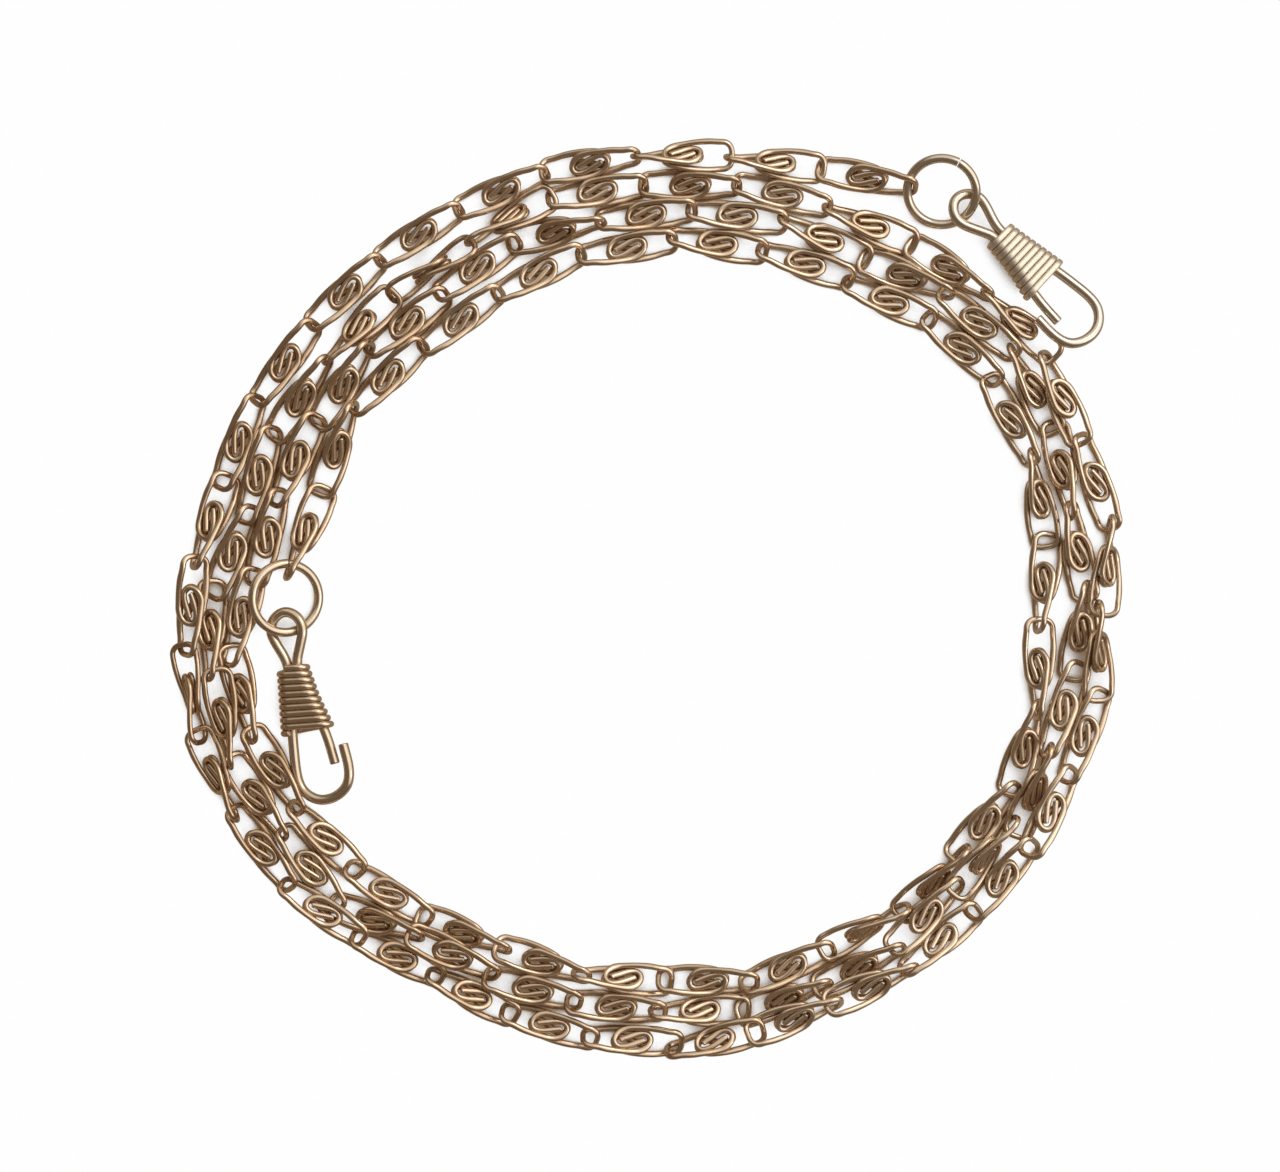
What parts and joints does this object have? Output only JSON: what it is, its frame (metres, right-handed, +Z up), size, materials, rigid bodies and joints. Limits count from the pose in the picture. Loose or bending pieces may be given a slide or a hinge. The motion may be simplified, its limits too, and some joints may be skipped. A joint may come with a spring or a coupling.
{
  "type": "pocket watch chain",
  "caption": "Plated brass scroll-link pocket watch chain lying in a flat coil, with a jump ring and a wire-wrapped spring snap hook at each end.",
  "frame": {"origin": "under the middle of the coil's outline, on the plane the coil lies on", "axes": "+Z up out of the coil, +X and +Y in the plane of the coil, +Y towards the outer jump ring's side"},
  "size_m": [0.1048, 0.101, 0.0041],
  "materials": {
    "link_plate": "polished",
    "fitting_plate": "polished"
  },
  "bodies": {
    "coil": {"coil_links_01": "link_plate", "coil_links_02": "link_plate", "coil_links_03": "link_plate", "coil_links_04": "link_plate", "coil_links_05": "link_plate", "coil_links_06": "link_plate", "coil_links_07": "link_plate", "coil_links_08": "link_plate", "coil_links_09": "link_plate", "coil_links_10": "link_plate"},
    "inner_link_01": {"inner_link_01": "link_plate"},
    "inner_link_02": {"inner_link_02": "link_plate"},
    "inner_link_03": {"inner_link_03": "link_plate"},
    "inner_link_04": {"inner_link_04": "link_plate"},
    "inner_link_05": {"inner_link_05": "link_plate"},
    "inner_link_06": {"inner_link_06": "link_plate"},
    "inner_link_07": {"inner_link_07": "link_plate"},
    "inner_link_08": {"inner_link_08": "link_plate"},
    "inner_link_09": {"inner_link_09": "link_plate"},
    "inner_link_10": {"inner_link_10": "link_plate"},
    "outer_link_01": {"outer_link_01": "link_plate"},
    "outer_link_02": {"outer_link_02": "link_plate"},
    "outer_link_03": {"outer_link_03": "link_plate"},
    "outer_link_04": {"outer_link_04": "link_plate"},
    "outer_link_05": {"outer_link_05": "link_plate"},
    "outer_link_06": {"outer_link_06": "link_plate"},
    "outer_link_07": {"outer_link_07": "link_plate"},
    "outer_link_08": {"outer_link_08": "link_plate"},
    "outer_link_09": {"outer_link_09": "link_plate"},
    "outer_link_10": {"outer_link_10": "link_plate"},
    "inner_jump_ring": {"inner_jump_ring": "fitting_plate"},
    "inner_hook": {"inner_hook_wire": "fitting_plate", "inner_hook_binding": "fitting_plate"},
    "inner_tongue": {"inner_hook_tongue": "fitting_plate"},
    "outer_jump_ring": {"outer_jump_ring": "fitting_plate"},
    "outer_hook": {"outer_hook_wire": "fitting_plate", "outer_hook_binding": "fitting_plate"},
    "outer_tongue": {"outer_hook_tongue": "fitting_plate"}
  },
  "joints": [
    {"name": "inner_link_10_swing", "type": "hinge", "parent": "coil", "child": "inner_link_10", "pos_m": [0.03888, 0.0238, 0.00156], "axis": [0.3867, 0.4652, 0.7963], "range_deg": [0, 22]},
    {"name": "inner_link_09_swing", "type": "hinge", "parent": "inner_link_10", "child": "inner_link_09", "pos_m": [0.03179, 0.03051, 0.00128], "axis": [0.3082, 0.6916, 0.6532], "range_deg": [0, 22]},
    {"name": "inner_link_08_swing", "type": "hinge", "parent": "inner_link_09", "child": "inner_link_08", "pos_m": [0.02275, 0.0351, 0.0012], "axis": [0.2605, 0.7462, 0.6127], "range_deg": [0, 22]},
    {"name": "inner_link_07_swing", "type": "hinge", "parent": "inner_link_08", "child": "inner_link_07", "pos_m": [0.01326, 0.03806, 0.00119], "axis": [0.1562, 0.7817, 0.6037], "range_deg": [0, 22]},
    {"name": "inner_link_06_swing", "type": "hinge", "parent": "inner_link_07", "child": "inner_link_06", "pos_m": [0.00332, 0.03936, 0.00137], "axis": [-0.109, 0.7039, 0.7019], "range_deg": [0, 22]},
    {"name": "inner_link_05_swing", "type": "hinge", "parent": "inner_link_06", "child": "inner_link_05", "pos_m": [-0.0069, 0.03817, 0.00132], "axis": [-0.3205, 0.662, 0.6775], "range_deg": [0, 22]},
    {"name": "inner_link_04_swing", "type": "hinge", "parent": "inner_link_05", "child": "inner_link_04", "pos_m": [-0.01594, 0.03388, 0.00146], "axis": [-0.403, 0.5214, 0.7522], "range_deg": [0, 22]},
    {"name": "inner_link_03_swing", "type": "hinge", "parent": "inner_link_04", "child": "inner_link_03", "pos_m": [-0.02444, 0.02814, 0.00136], "axis": [-0.4955, 0.5158, 0.6989], "range_deg": [0, 22]},
    {"name": "inner_link_02_swing", "type": "hinge", "parent": "inner_link_03", "child": "inner_link_02", "pos_m": [-0.03203, 0.02142, 0.00224], "axis": [-0.2749, -0.0523, 0.9601], "range_deg": [0, 22]},
    {"name": "inner_link_01_swing", "type": "hinge", "parent": "inner_link_02", "child": "inner_link_01", "pos_m": [-0.03544, 0.01229, 0.00044], "axis": [-0.724, 0.3357, 0.6026], "range_deg": [0, 22]},
    {"name": "inner_jump_ring_swing", "type": "hinge", "parent": "inner_link_01", "child": "inner_jump_ring", "pos_m": [-0.03939, 0.0038, 0.00215], "axis": [-0.9251, 0.0156, 0.3793], "range_deg": [0, 25]},
    {"name": "inner_hook_swing", "type": "hinge", "parent": "inner_jump_ring", "child": "inner_hook", "pos_m": [-0.03942, -0.00352, 0.00229], "axis": [-0.4589, -0.3718, 0.807], "range_deg": [0, 25]},
    {"name": "inner_tongue_press", "type": "hinge", "parent": "inner_hook", "child": "inner_tongue", "pos_m": [-0.03707, -0.01063, 0.00209], "axis": [0.2499, 0.0211, -0.968], "range_deg": [0, 18], "stiffness_Nm_per_rad": 0.02},
    {"name": "outer_link_10_swing", "type": "hinge", "parent": "coil", "child": "outer_link_10", "pos_m": [-0.04959, 0.00339, 0.002], "axis": [0.3705, -0.016, 0.9287], "range_deg": [0, 22]},
    {"name": "outer_link_09_swing", "type": "hinge", "parent": "outer_link_10", "child": "outer_link_09", "pos_m": [-0.04688, 0.01215, 0.00122], "axis": [0.7151, -0.3139, 0.6246], "range_deg": [0, 22]},
    {"name": "outer_link_08_swing", "type": "hinge", "parent": "outer_link_09", "child": "outer_link_08", "pos_m": [-0.04294, 0.02155, 0.00131], "axis": [0.5895, -0.4498, 0.6709], "range_deg": [0, 22]},
    {"name": "outer_link_07_swing", "type": "hinge", "parent": "outer_link_08", "child": "outer_link_07", "pos_m": [-0.03706, 0.03003, 0.00122], "axis": [0.5135, -0.5907, 0.6224], "range_deg": [0, 22]},
    {"name": "outer_link_06_swing", "type": "hinge", "parent": "outer_link_07", "child": "outer_link_06", "pos_m": [-0.0296, 0.03715, 0.00119], "axis": [0.4012, -0.6888, 0.6038], "range_deg": [0, 22]},
    {"name": "outer_link_05_swing", "type": "hinge", "parent": "outer_link_06", "child": "outer_link_05", "pos_m": [-0.02092, 0.04271, 0.0011], "axis": [0.2924, -0.7775, 0.5568], "range_deg": [0, 22]},
    {"name": "outer_link_04_swing", "type": "hinge", "parent": "outer_link_05", "child": "outer_link_04", "pos_m": [-0.01149, 0.04696, 0.00092], "axis": [0.1039, -0.883, 0.4577], "range_deg": [0, 22]},
    {"name": "outer_link_03_swing", "type": "hinge", "parent": "outer_link_04", "child": "outer_link_03", "pos_m": [-0.0014, 0.04857, 0.00191], "axis": [0.0354, -0.1502, 0.988], "range_deg": [0, 22]},
    {"name": "outer_link_02_swing", "type": "hinge", "parent": "outer_link_03", "child": "outer_link_02", "pos_m": [0.00885, 0.04844, 0.00201], "axis": [0.0629, -0.2346, 0.9701], "range_deg": [0, 22]},
    {"name": "outer_link_01_swing", "type": "hinge", "parent": "outer_link_02", "child": "outer_link_01", "pos_m": [0.01902, 0.04736, 0.0009], "axis": [-0.2162, -0.8672, 0.4486], "range_deg": [0, 22]},
    {"name": "outer_jump_ring_swing", "type": "hinge", "parent": "outer_link_01", "child": "outer_jump_ring", "pos_m": [0.02881, 0.04538, 0.00179], "axis": [-0.1401, -0.9005, -0.4116], "range_deg": [0, 25]},
    {"name": "outer_hook_swing", "type": "hinge", "parent": "outer_jump_ring", "child": "outer_hook", "pos_m": [0.03576, 0.04285, 0.0013], "axis": [-0.6458, -0.6623, -0.3798], "range_deg": [0, 25]},
    {"name": "outer_tongue_press", "type": "hinge", "parent": "outer_hook", "child": "outer_tongue", "pos_m": [0.0405, 0.03686, 0.00205], "axis": [0.1466, 0.1775, 0.9731], "range_deg": [0, 18], "stiffness_Nm_per_rad": 0.02}
  ]
}
